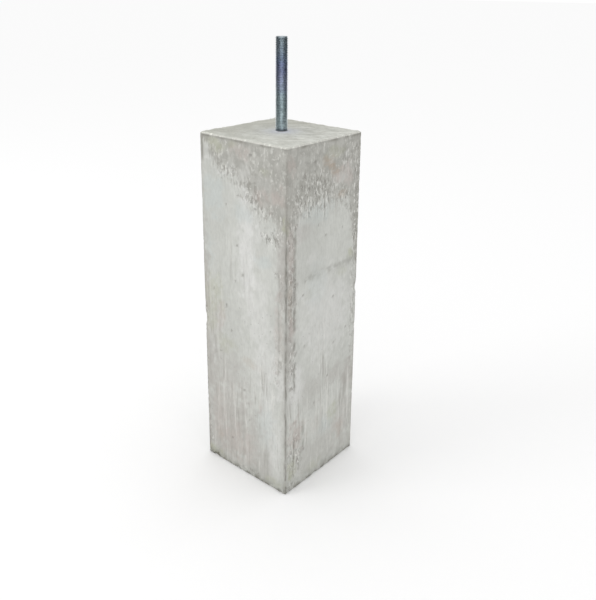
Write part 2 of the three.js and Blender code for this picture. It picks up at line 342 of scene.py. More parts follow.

# %% [markdown]
# ## Stains
# A stain is a soft spot whose edge wanders. A painter would dab them on, and so does this cell:
# each kind of stain is a layer of numbers on the mesh, and each dab has a face, a place, two half sizes and
# a strength. The material decides later what a layer looks like. Keeping place and look apart makes both
# easy to change. `pale` is skin of pure cement paste, `damp` is dark and beige, `runs` are upright streaks
# that water left, and `pits` are places where the mould's edge leaked and left a coarse strip. The edge of
# a dab of runs is torn by noise that is drawn out upright, so that each streak starts at its own height.

# %% Where the stains are
# Kind of stain: face, distance across, depth below the top, half width, half height, strength
stains = {
    "moss": [
        (FRONT, 28, 12, 18, 10, 0.75), (FRONT, 60, 8, 10, 5, 0.5), (FRONT, 115, 34, 10, 5, 0.5),
        (FRONT, 20, 222, 18, 34, 0.6), (FRONT, 12, 258, 14, 24, 0.5), (FRONT, 40, 292, 18, 14, 0.5),
        (FRONT, 147, 92, 4, 13, 0.9), (FRONT, 14, 490, 16, 9, 1.0), (FRONT, 128, 488, 18, 8, 0.6),
        (RIGHT, 95, 19, 18, 8, 0.6), (RIGHT, 2, 98, 4, 12, 0.9), (RIGHT, 133, 166, 8, 7, 0.9),
        (RIGHT, 112, 186, 14, 8, 0.4), (RIGHT, 100, 408, 13, 16, 0.7), (RIGHT, 13, 464, 9, 20, 0.9),
        (RIGHT, 62, 482, 14, 10, 0.4), (BACK, 40, 20, 26, 12, 0.8), (BACK, 110, 300, 22, 40, 0.5),
        (BACK, 30, 470, 26, 16, 0.6), (LEFT, 104, 22, 22, 14, 0.9), (LEFT, 60, 420, 26, 30, 0.5),
    ],
    "rust": [
        (RIGHT, 86, 33, 11, 8, 0.9), (RIGHT, 96, 42, 10, 7, 0.7), (RIGHT, 76, 30, 8, 8, 0.6),
        (RIGHT, 7, 184, 5, 16, 0.5), (RIGHT, 8, 212, 5, 10, 0.4), (RIGHT, 119, 448, 8, 15, 0.3),
        (RIGHT, 110, 76, 14, 5, 0.6), (FRONT, 84, 308, 16, 7, 0.4), (FRONT, 27, 455, 6, 10, 0.3),
        (BACK, 96, 36, 9, 8, 0.7), (LEFT, 34, 60, 8, 14, 0.5), (LEFT, 120, 380, 6, 18, 0.4),
    ],
    "blush": [
        (FRONT, 72, 15, 14, 11, 0.8), (FRONT, 112, 66, 17, 12, 0.8), (FRONT, 134, 64, 16, 16, 0.9),
        (FRONT, 104, 144, 5, 6, 0.5), (FRONT, 33, 250, 9, 26, 0.6), (FRONT, 105, 370, 5, 11, 0.7),
        (FRONT, 28, 428, 12, 50, 0.6), (FRONT, 60, 450, 34, 32, 0.7), (FRONT, 138, 240, 8, 60, 0.6),
        (RIGHT, 9, 22, 8, 12, 0.9), (RIGHT, 103, 48, 12, 10, 0.9), (RIGHT, 121, 50, 12, 15, 0.9),
        (RIGHT, 9, 130, 8, 38, 0.8), (RIGHT, 11, 236, 7, 16, 0.9), (RIGHT, 21, 410, 16, 28, 1.0),
        (RIGHT, 58, 412, 16, 16, 0.3), (RIGHT, 116, 446, 14, 22, 0.6), (BACK, 70, 90, 20, 24, 0.6),
        (BACK, 120, 420, 18, 40, 0.6), (LEFT, 70, 40, 18, 14, 0.6), (LEFT, 24, 300, 12, 60, 0.5),
    ],
    "pale": [
        (FRONT, 84, 150, 16, 92, 1.0), (FRONT, 104, 230, 20, 60, 0.6), (FRONT, 82, 90, 12, 12, 0.7),
        (FRONT, 114, 290, 20, 50, 0.7), (FRONT, 118, 360, 14, 60, 0.5), (FRONT, 54, 38, 10, 7, 0.8),
        (FRONT, 40, 47, 12, 3, 0.6), (FRONT, 80, 62, 9, 6, 0.6), (FRONT, 14, 31, 12, 2, 0.6),
        (FRONT, 100, 120, 10, 14, 0.5), (RIGHT, 84, 240, 56, 64, 0.7), (RIGHT, 118, 26, 6, 6, 0.7),
        (RIGHT, 77, 322, 3, 14, 0.7), (RIGHT, 50, 150, 10, 8, 0.5), (RIGHT, 24, 112, 6, 14, 0.5),
        (BACK, 60, 220, 20, 100, 0.9), (BACK, 112, 150, 14, 60, 0.6), (LEFT, 84, 190, 26, 90, 0.8),
        (LEFT, 40, 380, 16, 60, 0.5), (FRONT, 130, 430, 14, 50, 0.6), (FRONT, 78, 42, 14, 14, 0.7),
        (FRONT, 112, 50, 22, 12, 0.5), (FRONT, 142, 320, 10, 30, 0.7), (RIGHT, 120, 50, 30, 14, 0.8),
        (RIGHT, 20, 330, 18, 34, 0.9),
    ],
    "cool": [
        (FRONT, 24, 78, 22, 28, 0.7), (FRONT, 74, 94, 18, 12, 0.6), (FRONT, 110, 150, 14, 10, 0.7),
        (FRONT, 30, 280, 12, 8, 0.4), (FRONT, 112, 400, 18, 36, 0.5), (FRONT, 10, 160, 12, 30, 0.5),
        (RIGHT, 40, 24, 20, 12, 0.7), (RIGHT, 60, 90, 34, 16, 0.6), (RIGHT, 86, 424, 14, 16, 0.7),
        (RIGHT, 60, 190, 20, 30, 0.4), (BACK, 24, 140, 18, 34, 0.7), (LEFT, 120, 110, 16, 30, 0.7),
    ],
    "damp": [
        (FRONT, 40, 428, 56, 88, 1.0), (FRONT, 86, 446, 20, 66, 0.8), (FRONT, 114, 468, 14, 36, 0.7),
        (FRONT, 34, 336, 42, 46, 0.6), (FRONT, 4, 250, 10, 110, 1.0), (FRONT, 32, 22, 10, 9, 0.7),
        (FRONT, 134, 40, 16, 34, 0.8), (FRONT, 95, 48, 12, 8, 0.5), (FRONT, 10, 340, 18, 56, 1.0),
        (FRONT, 143, 150, 9, 80, 1.0), (FRONT, 147, 330, 5, 130, 0.3), (FRONT, 3, 440, 7, 70, 0.8),
        (FRONT, 18, 268, 20, 46, 0.8), (RIGHT, 8, 200, 10, 120, 1.0), (RIGHT, 138, 60, 10, 70, 0.7),
        (RIGHT, 12, 68, 20, 34, 1.0), (RIGHT, 137, 362, 20, 28, 1.0), (RIGHT, 104, 344, 24, 14, 0.6),
        (RIGHT, 52, 350, 26, 30, 0.4), (RIGHT, 70, 462, 60, 30, 0.4), (RIGHT, 128, 420, 20, 40, 0.6),
        (RIGHT, 130, 480, 24, 16, 0.5), (RIGHT, 146, 70, 6, 70, 0.8), (RIGHT, 34, 441, 6, 7, 0.7),
        (RIGHT, 20, 10, 22, 8, 0.5), (RIGHT, 34, 110, 18, 12, 0.6), (RIGHT, 44, 36, 34, 22, 0.6),
        (BACK, 80, 420, 70, 70, 0.9), (BACK, 20, 70, 18, 30, 0.7), (BACK, 130, 230, 16, 40, 0.5),
        (LEFT, 40, 440, 44, 60, 0.9), (LEFT, 112, 340, 34, 40, 0.5), (LEFT, 20, 40, 20, 26, 0.6),
    ],
    "runs": [
        (FRONT, 60, 430, 56, 74, 0.7), (FRONT, 112, 346, 16, 34, 1.0), (FRONT, 116, 440, 14, 50, 0.8),
        (FRONT, 20, 260, 22, 60, 0.5), (FRONT, 74, 190, 20, 40, 0.4), (FRONT, 52, 158, 8, 22, 0.5),
        (RIGHT, 22, 424, 22, 60, 1.0), (RIGHT, 122, 400, 22, 60, 0.9), (RIGHT, 82, 390, 16, 40, 0.8),
        (RIGHT, 70, 268, 8, 26, 0.6), (RIGHT, 76, 322, 8, 18, 0.8), (RIGHT, 62, 74, 34, 24, 0.9),
        (RIGHT, 70, 470, 40, 24, 0.6), (BACK, 70, 420, 60, 80, 1.0), (BACK, 60, 120, 50, 50, 0.6),
        (LEFT, 60, 420, 60, 80, 1.0), (LEFT, 90, 150, 40, 60, 0.5),
    ],
    "pits": [
        (FRONT, 119, 114, 11, 12, 1.0), (FRONT, 134, 118, 8, 16, 0.9), (FRONT, 137, 286, 9, 40, 0.6),
        (FRONT, 94, 66, 14, 22, 0.8), (FRONT, 52, 42, 18, 12, 0.8), (FRONT, 136, 163, 9, 4, 0.8),
        (FRONT, 2, 262, 5, 26, 0.9), (FRONT, 3, 472, 7, 26, 1.0), (FRONT, 88, 494, 18, 8, 0.9),
        (FRONT, 1, 380, 4, 80, 0.9), (FRONT, 142, 190, 6, 50, 0.4), (RIGHT, 118, 96, 12, 12, 0.5),
        (RIGHT, 10, 110, 9, 30, 1.0), (RIGHT, 11, 190, 9, 70, 1.0), (RIGHT, 12, 296, 9, 46, 0.9),
        (RIGHT, 50, 64, 44, 30, 0.9), (RIGHT, 120, 34, 14, 24, 0.8), (RIGHT, 142, 110, 9, 90, 1.0),
        (RIGHT, 143, 230, 9, 110, 0.75), (RIGHT, 19, 434, 16, 46, 1.0), (RIGHT, 10, 490, 14, 12, 0.8),
        (BACK, 10, 140, 9, 90, 1.0), (BACK, 60, 60, 50, 30, 0.8), (BACK, 142, 330, 8, 70, 0.9),
        (LEFT, 10, 300, 8, 90, 0.9), (LEFT, 80, 66, 50, 30, 0.9), (LEFT, 142, 120, 9, 60, 0.8),
    ],
}
print({kind: len(dabs) for kind, dabs in stains.items()})

# %% Dab them on
edge_noise = 0.55 * wander(points, 11, 3, 3) + 0.3 * wander(points, (3, 3, 6), 2, 4)
run_noise = 1.3 * wander(points, (4, 4, 150), 2, 26) + 0.3 * edge_noise


def dab(ragged, dab_face, where_across, where_deep, half_width, half_height, strength):
    """One stain with a ragged edge, as a number from 0 to its strength at every point of the net."""
    reach = np.hypot((across_face - where_across) / half_width, (depth - where_deep) / half_height)
    soft = smooth_step((1.35 - reach + ragged) / 0.9)
    return np.where((face == dab_face) & ~on_top[:, None], soft * strength, 0)


layers = {}
for kind, dabs in stains.items():
    ragged = run_noise if kind == "runs" else edge_noise
    layers[kind] = np.max([dab(ragged, *values) for values in dabs], axis=0)
print({kind: f"{values.mean():.0%}" for kind, values in layers.items()})

# %% [markdown]
# ## The seam
# The mould was filled in two goes, and on the right-hand face a faint dark line shows where the second
# pour met the first. It wavers by a few millimetres, it is broken, and it dies out towards the left.
#
# The mould also leaked at its corners. Water ran out there and left a coarse strip, which ends in a thin
# upright line some 16 mm in from the edge. Thinner lines of the same kind stand in the lower streaks.

# %% Seam between two pours, and the lines where the mould leaked
seam_depth = 174
seam_line = seam_depth + 4 * wander(points * (1, 1, 0), 40, 3, 5)
below_seam = depth - seam_line
seam_width = np.where(below_seam > 0, 6.5, 4.0)
seam = bell(below_seam, seam_width) * smooth_step((across_face - 16) / 45)
seam = seam * smooth_step(0.65 + 1.3 * wander(points, (7, 7, 4), 3, 6)) * points_of(RIGHT)

# face, distance across, depths below the top where it starts and ends, strength
leak_lines = [
    (RIGHT, 16.5, 95, 345, 1.0), (RIGHT, 17, 405, 485, 1.0), (RIGHT, 36, 385, 450, 0.8),
    (RIGHT, 143, 5, 70, 0.5), (FRONT, 138, 150, 330, 0.5), (FRONT, 4.5, -20, 45, 1.0),
    (FRONT, 4.5, 400, 520, 0.7), (FRONT, 72, 385, 490, 0.4), (FRONT, 118, 425, 490, 0.5),
    (BACK, 15, 60, 260, 0.9), (LEFT, 136, 40, 240, 0.8),
]
leak_width = 1.8
leak_end = 20
wobble = 1.5 * wander(points * (0, 0, 1), 30, 3, 24)
leak = np.zeros_like(depth)
for leak_face, place, start, stop, strength in leak_lines:
    line = bell(across_face - place + wobble, leak_width) * strength * points_of(leak_face)
    line = line * smooth_step((depth - start) / leak_end) * smooth_step((stop - depth) / leak_end)
    leak = np.maximum(leak, line)
leak = leak * smooth_step(0.75 + 1.2 * wander(points, (9, 9, 14), 3, 25))
print(f"seam at {seam_depth} mm below the top, {len(leak_lines)} leak lines")

# %% [markdown]
# ## Pressing the relief into the sides
# All relief goes inwards from the mould's plane, never outwards, so that the finished mesh stays inside
# the CAD solid's box. From large to small: the mould's sheet steel was not quite flat, the crust is
# pitted, and the skin has a fine grain. The holes come last, with a steep wall and a round floor.

# %% Relief of the sides
sink = 0.35 * (0.5 + 0.5 * wander(points, 120, 2, 7)) + 0.10 * (0.5 + 0.5 * wander(points, 9, 3, 8))
coarse = np.abs(wander(points, (6, 6, 8), 3, 9)) + 0.7 * np.maximum(wander(points, 3.2, 2, 10), 0)
sink += np.maximum(crust, 0.9 * layers["pits"]) * 0.7 * coarse
drip_cover = np.maximum(crust_edge, 0.6 * layers["runs"])
sink += drip_cover * 0.35 * np.maximum(wander(points, (2.6, 2.6, 9), 2, 11), 0)
sink += 0.3 * seam

far_away = 9
# The material paints shade and dirt inside the bug holes through this mask
hole_shade_and_dirt = np.zeros_like(depth)
for hole_face, place, below_top, radius in bug_holes:
    oval = 1 + 0.3 * math.sin(place + below_top)
    away = np.hypot((local_x - from_middle(place)) / oval, (depth - below_top) * oval) / radius
    away = np.where(points_of(hole_face), away * (1 + 0.2 * edge_noise), far_away)
    sink += 0.6 * radius * np.sqrt(np.clip(1 - away**2, 0, 1))
    hole_shade_and_dirt = np.maximum(hole_shade_and_dirt, smooth_step((1.15 - away) / 0.4))

fade_in = np.clip(1 - 12 * level_share, 0, 1)
sink = sink * fade_in[:, None]
points[..., :2] -= normal * sink[..., None]
print(f"deepest point {sink.max():.1f} mm")

# %% [markdown]
# ## The top face
# The top was struck off with a board and rubbed with a trowel. The strokes run mostly one way. The widest
# are pressed into the mesh here, and the fine ones are left to the material. Cement paste has crept a
# little way up the rod, and small lumps stand along the rim where the board left the mould.

# %% Relief of the top face
top_x, top_y = points[..., 0], points[..., 1]
stroke_angle = math.radians(40)
stroke_along = top_x * math.cos(stroke_angle) + top_y * math.sin(stroke_angle)
stroke_over = top_y * math.cos(stroke_angle) - top_x * math.sin(stroke_angle)
stroke = np.stack([stroke_along, stroke_over, np.zeros_like(top_x)], -1)
lift = 0.6 * wander(stroke, (50, 10, 1), 2, 12) + 0.3 * wander(points, 7, 3, 14) - 0.3
rim_distance = np.clip(side_at(block_height) / 2 - np.maximum(abs(top_x), abs(top_y)), 0, None)
lift += 1.6 * np.maximum(wander(points, 4.0, 2, 15) - 0.1, 0) * bell(rim_distance, 4)
from_rod = np.clip(np.hypot(top_x, top_y) - bore_radius, 0, None)
lift += 1.1 * np.exp(-from_rod / (1.4 + 0.5 * edge_noise))

top_weight = np.where(on_top & (level_height == block_height), 1.0, 0.0)
top_weight[~on_top & (level_height > block_height - rim_bevel)] = 0.8
lift = lift * top_weight[:, None]
points[..., 2] += lift
print(f"top face from {lift.min():.1f} to {lift.max():.1f} mm about its level")

# %% [markdown]
# ## Worn and broken edges
# An arris is the first thing to be knocked. Near an edge each point has two distances, one in from each
# of the two faces that meet there. Where their sum is less than the chip's size, the point is pushed
# straight in until the sum is just that size, as if a slanted slice had been struck off. Letting the size
# change along the edge gives a worn line with a few larger chips, and adding fine noise to it gives the
# slice a torn face. The chips are those of the CAD solid.

# %% Where the chips are
# corner's signs in x and y, share of the height, length, size
arris_chips = [
    (1, -1, 0.985, 9, 4.4), (1, -1, 0.035, 16, 4.8), (1, -1, 0.63, 14, 4.1), (-1, -1, 0.47, 26, 4.6),
    (1, 1, 0.56, 18, 4.6), (-1, 1, 0.3, 14, 4.6),
]
# side, level, place along it from -1 to 1, length, size
rim_chips = [
    (FRONT, 0, -0.8, 15, 4.0), (FRONT, 0, -0.2, 9, 3.2), (FRONT, 1, -0.45, 9, 2.8), (BACK, 1, 0.3, 12, 3.2),
    (RIGHT, 0, -0.9, 10, 4.0), (RIGHT, 0, -0.16, 12, 3.6), (LEFT, 0, 0.45, 12, 3.8),
]
torn = 0.55 * wander(points, 2.2, 2, 16) + 0.5 * wander(points, 6, 2, 17)


def bite(distance, length):
    """From 1 in the middle of a chip to 0 at its ends."""
    return np.sqrt(np.clip(1 - (distance / (length / 2)) ** 2, 0, 1))


def push_in(size, first, second):
    """How far both distances grow so that their sum reaches the chip's size."""
    return np.maximum(size - first - second, 0) / 2


print(f"{len(arris_chips) + len(rim_chips)} chips")

# %% Wear the upright edges
x, y, z = points[..., 0], points[..., 1], points[..., 2]
half = side_at(z) / 2
arris_size = 1.8 + 1.5 * np.maximum(wander(points * (0, 0, 1), 8, 3, 18), 0) + 0.5 * torn
for sign_x, sign_y, share, length, size in arris_chips:
    near = (np.sign(x) == sign_x) & (np.sign(y) == sign_y)
    chip = size * bite(z - share * block_height, length) + 0.8 * torn
    arris_size = np.where(near, np.maximum(arris_size, chip), arris_size)
arris_push = push_in(arris_size, half - abs(x), half - abs(y))
points[..., 0] -= np.sign(x) * arris_push
points[..., 1] -= np.sign(y) * arris_push
print(f"upright edges: largest push {arris_push.max():.1f} mm")

# %% Wear the rim and the foot
x_side = abs(x) > abs(y)
rim_along = np.where(x_side, y, x)
outer_sign = np.sign(np.where(x_side, x, y))
from_side = half - np.maximum(abs(x), abs(y))
rim_push = np.zeros_like(x)
for level, seed in ((0, 19), (1, 20)):
    rim_size = 1.3 + 1.5 * np.maximum(wander(points * (1, 1, 0), 5, 3, seed), 0) + 0.6 * torn
    for side, chip_level, place, length, size in rim_chips:
        side_sign = -1 if side in (FRONT, LEFT) else 1
        near = (x_side == (side in (LEFT, RIGHT))) & (outer_sign == side_sign) & (chip_level == level)
        chip = size * bite(rim_along - place * half, length) + 0.7 * torn
        rim_size = np.where(near, np.maximum(rim_size, chip), rim_size)
    push = push_in(rim_size, abs(z - level * block_height), from_side)
    points[..., 2] += push * (1 - 2 * level)
    points[..., 0] -= np.where(x_side, outer_sign * push, 0)
    points[..., 1] -= np.where(x_side, 0, outer_sign * push)
    rim_push = np.maximum(rim_push, push)
print(f"rim and foot: largest push {rim_push.max():.1f} mm")

# %% [markdown]
# ## The block's mesh and its layers
# The rings become one closed mesh, and the masks become named layers of it. Besides the stains there are
# layers for how near a point is to an upright edge, to the rim, to the foot and to the rod: the upright edges
# and the foot are darker, and cement paste gathers at the rim and round the rod. A dark line runs along each
# upright edge. On the edge that is nearest in the photograph it is faint inside the crust, and on the other
# three it is faint below the crust. One more dark line, painted shade, lies just under the rim, and one
# corner of the foot is darker than the rest.

# %% Layers for the edges
layers["crust"] = crust
layers["crust_edge"] = crust_edge * on_side[:, None]
layers["seam"] = np.maximum(0.5 * seam, leak)
layers["hole"] = hole_shade_and_dirt
layers["broken"] = smooth_step(np.maximum(arris_push, rim_push) / 1.0 - 0.6)

edge_distance = half - np.minimum(abs(x), abs(y))
line_near = np.interp(depth, [0, 85, 125, block_height], [0.15, 0.3, 1.0, 0.9])
line_far = np.interp(depth, [0, 40, 75, 215, 265, block_height], [0.9, 0.9, 0.3, 0.4, 0.9, 1.0])
line_strength = np.where((x > 0) & (y < 0), line_near, line_far)
line_strength *= np.clip(0.85 + 0.7 * wander(points * (0, 0, 1), 24, 3, 21), 0.2, 1)
layers["arris"] = np.exp(-edge_distance / 3.6) * ~on_top[:, None]
layers["arris_line"] = bell(edge_distance, 2.2) * line_strength * ~on_top[:, None]
# Painted shade: a broken dark line just under the rim
layers["painted_shade_under_rim"] = bell(depth - 3.2, 1.8) * smooth_step(0.6 + wander(points, 12, 3, 22))
# Darker towards the bottom of the foot
foot_darkening = np.exp(-height / (7.5 + 5 * wander(points * (1, 1, 0), 30, 2, 33)))
# A strength above 1 fills a dab almost to its edge, because a layer stops at 1
dark_corner = dab(edge_noise, FRONT, 16, 500, 17, 6.5, 2.0)
layers["foot"] = np.maximum(foot_darkening, dark_corner)

layers["top"] = on_top[:, None] * np.ones_like(x)
layers["rim"] = bell(rim_distance, 2.9) * (depth < 2)
layers["ring"] = np.exp(-from_rod / 12) * on_top[:, None]
rubbed = 0.5 + 1.2 * stroke_along / base_side + 0.5 * wander(points, 26, 2, 13)
layers["rubbed"] = (0.25 + 0.75 * smooth_step(rubbed)) * on_top[:, None]
drier_side = (1.15 * x - 0.45 * y) / base_side
layers["dry"] = smooth_step(0.45 + drier_side + 0.4 * wander(points, 16, 3, 23)) * on_top[:, None]
print(f"{len(layers)} layers")

# %% The block's mesh
block_mesh = mesh_from_rings("cast_pier", points)
for name, values in layers.items():
    paint_layer(block_mesh, name, values)
block = new_object("cast_pier", block_mesh)
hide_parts("concrete_block")
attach(block, "root")
print(f"cast_pier: {len(block_mesh.polygons)} faces")

# %% [markdown]
# ## Small tools for shaders
# A material here is built as a painter works: a ground colour, then one colour after another laid over it,
# each through its mask. `Finish` holds the node tree of one material and shortens the typing. Colours are
# written as a screen shows them, from 0 to 255, because that is how they are read off a picture, and
# turned into the linear numbers that Blender mixes.


# %% Shader tools
def paint(red, green, blue):
    """A colour as a screen shows it, in Blender's linear numbers, with full alpha."""
    shares = [value / 255 for value in (red, green, blue)]
    linear = [s / 12.92 if s <= 0.04045 else ((s + 0.055) / 1.055) ** 2.4 for s in shares]
    return (*linear, 1.0)


class Finish:
    """The node tree of one material or group, its place on the object, and the tone painted so far."""

    def __init__(self, tree):
        self.tree = tree
        self.position = None
        self.tone = None

    def fill(self, node, inputs):
        """Links or sets the inputs of a node that are named."""
        for name, value in inputs.items():
            if isinstance(value, bpy.types.NodeSocket):
                self.tree.links.new(value, node.inputs[name])
            else:
                node.inputs[name].default_value = value
        return node

    def put(self, kind, inputs, **settings):
        """Adds a node with its options and its inputs."""
        node = self.tree.nodes.new(kind)
        for name, value in settings.items():
            setattr(node, name, value)
        return self.fill(node, inputs)

    def place(self, group, values):
        """A place of a node group. Its values are named as its sockets are, in small letters."""
        inputs = {name.capitalize(): value for name, value in values.items()}
        return self.put("ShaderNodeGroup", {"Position": self.position, **inputs}, node_tree=group)

    def math(self, operation, first, second):
        return self.put("ShaderNodeMath", {0: first, 1: second}, operation=operation).outputs[0]

    def vector(self, operation, inputs):
        return self.put("ShaderNodeVectorMath", inputs, operation=operation).outputs[0]

    def times(self, first, *others):
        for other in others:
            first = self.math("MULTIPLY", first, other)
        return first

    def layer(self, name):
        """A layer that was painted on the mesh."""
        return self.put("ShaderNodeAttribute", {}, attribute_name=name).outputs["Fac"]

    def ramp(self, value, start, end, low=0.0, high=1.0):
        """A soft step: `low` below start, `high` above end."""
        inputs = {"Value": value, "From Min": start, "From Max": end, "To Min": low, "To Max": high}
        return self.put("ShaderNodeMapRange", inputs, interpolation_type="SMOOTHSTEP").outputs["Result"]

    def mix(self, share, below, above, mode="MIX"):
        """Two colours mixed by a share from 0 to 1. The mix node keeps its colours in inputs 6 and 7."""
        inputs = {0: share, 6: below, 7: above}
        return self.put("ShaderNodeMix", inputs, data_type="RGBA", blend_type=mode).outputs[2]

    def lay(self, colour, *masks):
        """Lays a colour over the tone so far, through all masks multiplied. A mask can be a layer's name."""
        masks = [self.layer(mask) if isinstance(mask, str) else mask for mask in masks]
        self.tone = self.mix(self.times(*masks), self.tone, colour)


def new_group(name, inputs, outputs):
    """An empty node group, with a vector input for its place and named number sockets."""
    group = bpy.data.node_groups.new(name, "ShaderNodeTree")
    group.interface.new_socket(name="Position", in_out="INPUT", socket_type="NodeSocketVector")
    for socket_name, value in inputs.items():
        socket = group.interface.new_socket(name=socket_name, in_out="INPUT", socket_type="NodeSocketFloat")
        socket.default_value = value
    for socket_name in outputs:
        group.interface.new_socket(name=socket_name, in_out="OUTPUT", socket_type="NodeSocketFloat")
    return Finish(group), group.nodes.new("NodeGroupInput").outputs, group.nodes.new("NodeGroupOutput").inputs


# %% [markdown]
# ## Two effects that the materials share
# **Patches** are clouds of tone of any size, from the mottle of drying concrete to fine grain, and with a
# stretch they become runs and streaks. **Specks** are separate dots, such as pores in cement or dull spots
# in zinc. Each is a node group, built once, and each material gives it sizes of its own, in millimetres.
# What a call leaves out stays as the group has it.


# %% Patches
def make_patches():
    numbers = {"Size": 10.0, "Stretch": 1.0, "Detail": 3.0, "Seed": 0.0, "Start": 0.4, "End": 0.6}
    group, start, end = new_group("Patches", numbers, ["Mask", "Cloud"])
    rate = group.math("DIVIDE", 1 / mm, start["Size"])
    rates = {"X": rate, "Y": rate, "Z": group.math("DIVIDE", rate, start["Stretch"])}
    rates = group.put("ShaderNodeCombineXYZ", rates).outputs[0]
    scaled = group.vector("MULTIPLY", {0: start["Position"], 1: rates})
    moved = group.vector("ADD", {0: scaled, 1: start["Seed"]})
    tone = {"Vector": moved, "Scale": 1.0, "Detail": start["Detail"], "Roughness": 0.55}
    tone = group.put("ShaderNodeTexNoise", tone).outputs["Fac"]
    group.tree.links.new(group.ramp(tone, start["Start"], start["End"]), end["Mask"])
    group.tree.links.new(tone, end["Cloud"])
    return group.tree


patches_group = make_patches()


def patches(finish, **values):
    """Patches as a mask: 0 where the noise is below start, 1 where it is above end."""
    return finish.place(patches_group, values).outputs["Mask"]


def cloud(finish, **values):
    """The noise itself, without the step that makes patches of it."""
    return finish.place(patches_group, values).outputs["Cloud"]


print("Patches:", len(patches_group.nodes), "nodes")


# %% Specks
def make_specks():
    numbers = {"Size": 2.0, "Spacing": 8.0, "Share": 0.5, "Seed": 0.0}
    group, start, end = new_group("Specks", numbers, ["Mask"])
    rate = group.math("DIVIDE", 1 / mm, start["Spacing"])
    scaled = group.vector("SCALE", {0: start["Position"], "Scale": rate})
    moved = group.vector("ADD", {0: scaled, 1: start["Seed"]})
    cells = group.put("ShaderNodeTexVoronoi", {"Vector": moved, "Scale": 1.0})
    draw = group.put("ShaderNodeSeparateColor", {0: cells.outputs["Color"]})
    radius = group.math("DIVIDE", start["Size"], group.times(start["Spacing"], 2.0))
    radius = group.times(radius, group.ramp(draw.outputs[1], 0, 1, 0.5, 1.5))
    dot = group.ramp(cells.outputs["Distance"], group.times(radius, 0.45), radius, 1.0, 0.0)
    chosen = group.math("LESS_THAN", draw.outputs[0], start["Share"])
    group.tree.links.new(group.times(dot, chosen), end["Mask"])
    return group.tree


specks_group = make_specks()


def specks(finish, **values):
    return finish.place(specks_group, values).outputs["Mask"]


def new_material(name):
    """A material, its Principled shader, and a Finish that paints by the object's own coordinates."""
    material = bpy.data.materials.new(name)
    material.use_nodes = True
    finish = Finish(material.node_tree)
    finish.position = finish.put("ShaderNodeTexCoord", {}).outputs["Object"]
    return material, material.node_tree.nodes["Principled BSDF"], finish


print("Specks:", len(specks_group.nodes), "nodes")

# %% [markdown]
# ## Cast concrete, part one: the skin
# Cement skin is a light, slightly warm grey with cloudy tone at every size. Over it lie the pale and the
# cool areas, and the damp ones, which are beige. Water has drawn upright streaks down the lower half, some
# darker and some paler than the skin, so two sets of stretched patches are laid through one mask.

# %% Skin, damp and runs
concrete, concrete_shader, skin = new_material("cast_concrete")
broad = patches(skin, size=70, detail=4, seed=1, start=0.38, end=0.62)
mottle = patches(skin, size=13, stretch=1.4, detail=5, seed=2, start=0.36, end=0.66)
skin.tone = skin.mix(broad, paint(189, 190, 185), paint(196, 197, 192))
skin.lay(paint(180, 181, 175), mottle, 0.4)
skin.lay(paint(207, 207, 204), "pale", skin.ramp(mottle, 0, 1, 0.95, 0.7))
skin.lay(paint(186, 192, 190), "cool", 0.75)

cloudy = patches(skin, size=20, detail=4, seed=4, start=0.3, end=0.6)
skin.lay(paint(173, 170, 165), "damp", skin.ramp(cloudy, 0, 1, 0.5, 0.85))

dark_runs = patches(skin, size=4.4, stretch=15, detail=2.4, seed=3, start=0.5, end=0.6)
pale_runs = patches(skin, size=4.8, stretch=14, detail=2.4, seed=5, start=0.51, end=0.61)
runs = skin.layer("runs")
skin.lay(paint(152, 149, 143), runs, dark_runs, 0.55)
skin.lay(paint(212, 212, 207), runs, pale_runs, 0.6)
print(f"skin: {len(skin.tree.nodes)} nodes")

# %% [markdown]
# ## Part two: the crust
# The crust's mask fades over four centimetres. Adding strong upright noise to it and then taking a narrow
# step turns the fade into drips: near the top almost all of the noise passes, and further down only its
# peaks do. Inside the crust, dark lumps and pale flecks of different sizes keep it from being one grey, and
# it is thinner where the skin under it is pale. Where it ends, short upright strokes stand out, dark and
# pale, because its last grains lie there singly. A broad cloud decides where all of this is busy and where
# it is calm, so that it isn't an even pattern.

# %% Crust and pits
drips = cloud(skin, size=5, stretch=2.6, detail=4, seed=6)
uneven = skin.math("SUBTRACT", skin.times(drips, 1.7), 0.85)
crust_cover = skin.ramp(skin.math("ADD", skin.layer("crust"), uneven), 0.25, 0.75)
crust_cover = skin.times(crust_cover, skin.ramp(skin.layer("pale"), 0, 1, 1, 0.5))
skin.lay(paint(173, 172, 166), crust_cover, 0.85)
busy = skin.ramp(cloud(skin, size=24, detail=2, seed=28), 0.4, 0.58, 0.15, 1)
lumps = patches(skin, size=10, stretch=1.2, detail=4, seed=7, start=0.42, end=0.6)
skin.lay(paint(149, 148, 142), crust_cover, lumps, 0.5)
flecks = patches(skin, size=4, stretch=1.5, seed=8, start=0.54, end=0.63)
skin.lay(paint(203, 203, 197), crust_cover, flecks, busy, 0.7)

last_grains = skin.times(skin.layer("crust_edge"), busy)
dark_grains = patches(skin, size=3.4, stretch=2.4, seed=26, start=0.54, end=0.62)
pale_grains = patches(skin, size=3.8, stretch=2.2, seed=27, start=0.54, end=0.62)
skin.lay(paint(146, 143, 136), last_grains, dark_grains, 0.6)
skin.lay(paint(214, 214, 209), last_grains, pale_grains, 0.7)

pits = skin.layer("pits")
dark_pits = patches(skin, size=3.8, stretch=2, seed=9, start=0.52, end=0.61)
pale_pits = patches(skin, size=3.8, stretch=1.8, seed=10, start=0.54, end=0.62)
skin.lay(paint(136, 133, 126), pits, dark_pits, 0.65)
skin.lay(paint(220, 220, 215), pits, pale_pits, 0.75)
print(f"with crust: {len(skin.tree.nodes)} nodes")

